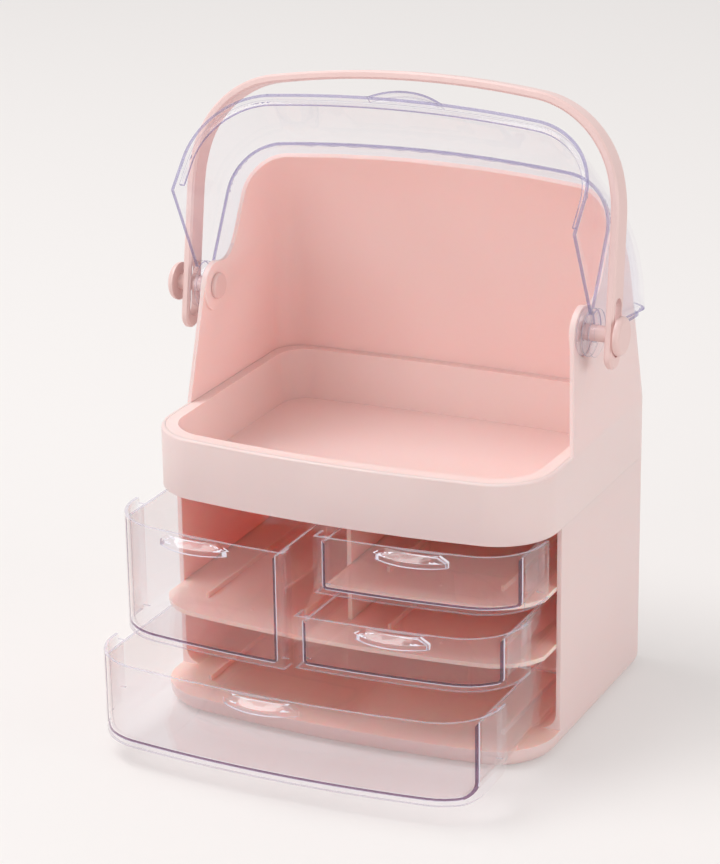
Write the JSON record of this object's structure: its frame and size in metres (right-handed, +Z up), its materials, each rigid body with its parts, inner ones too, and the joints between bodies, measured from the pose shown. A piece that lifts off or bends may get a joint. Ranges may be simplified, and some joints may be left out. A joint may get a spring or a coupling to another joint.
{
  "type": "makeup storage case",
  "caption": "Tabletop makeup storage case with a recessed tray under a clear hinged lid, pull-out clear drawers below and a swinging carrying handle.",
  "frame": {"origin": "on the table plane under the feet, in the middle of what the case covers at rest, between its back and the pull of the open bottom drawer; the pivot axis of the lid and the handle is 36 mm behind it", "axes": "+X to the right of a user facing the drawers, +Y to the back, +Z up; the drawers pull out along -Y"},
  "size_m": [0.2904, 0.2861, 0.3802],
  "materials": {
    "pink": "satin",
    "clear": "polished",
    "pad": "matte"
  },
  "bodies": {
    "case": {"cabinet": "pink", "foot_front_left": "pad", "foot_front_right": "pad", "foot_rear_left": "pad", "foot_rear_right": "pad", "lower_shelf": "pink", "upper_shelf": "pink", "centre_divider": "pink", "upper_housing": "pink", "tray_insert": "pink"},
    "lid_front": {"outer_visor": "clear"},
    "lid_middle": {"inner_visor": "clear"},
    "handle_pins": {"pivot_pin_left": "pink", "pivot_pin_right": "pink", "handle_cap_left": "pink", "handle_cap_right": "pink"},
    "carrying_handle": {"handle": "pink"},
    "drawer_bottom": {"bottom_drawer": "clear"},
    "drawer_upper_left": {"upper_left_drawer": "clear"},
    "drawer_middle_right": {"middle_right_drawer": "clear"},
    "drawer_top_right": {"top_right_drawer": "clear"}
  },
  "joints": [
    {"name": "lid_front_hinge", "type": "hinge", "parent": "case", "child": "lid_front", "pos_m": [0, 0.03605, 0.2435], "axis": [1, 0, 0], "range_deg": [0, 133]},
    {"name": "lid_middle_hinge", "type": "hinge", "parent": "case", "child": "lid_middle", "pos_m": [0, 0.03605, 0.2435], "axis": [1, 0, 0], "range_deg": [0, 67.1]},
    {"name": "handle_hinge", "type": "hinge", "parent": "case", "child": "handle_pins", "pos_m": [0, 0.03605, 0.2435], "axis": [1, 0, 0], "range_deg": [-90, 120]},
    {"name": "handle_slide", "type": "slide", "parent": "handle_pins", "child": "carrying_handle", "axis": [0, 0.1977, 0.9803], "range_m": [-0.006, 0.006]},
    {"name": "bottom_drawer_slide", "type": "slide", "parent": "case", "child": "drawer_bottom", "axis": [0, -1, 0], "range_m": [-0.0785, 0.0715]},
    {"name": "upper_left_drawer_slide", "type": "slide", "parent": "case", "child": "drawer_upper_left", "axis": [0, -1, 0], "range_m": [-0.048, 0.102]},
    {"name": "middle_right_drawer_slide", "type": "slide", "parent": "case", "child": "drawer_middle_right", "axis": [0, -1, 0], "range_m": [-0.043, 0.107]},
    {"name": "top_right_drawer_slide", "type": "slide", "parent": "case", "child": "drawer_top_right", "axis": [0, -1, 0], "range_m": [-0.0165, 0.1335]}
  ],
  "couplings": [
    {"joint": "lid_middle_hinge", "follows": "lid_front_hinge", "ratio": 0.5038}
  ]
}
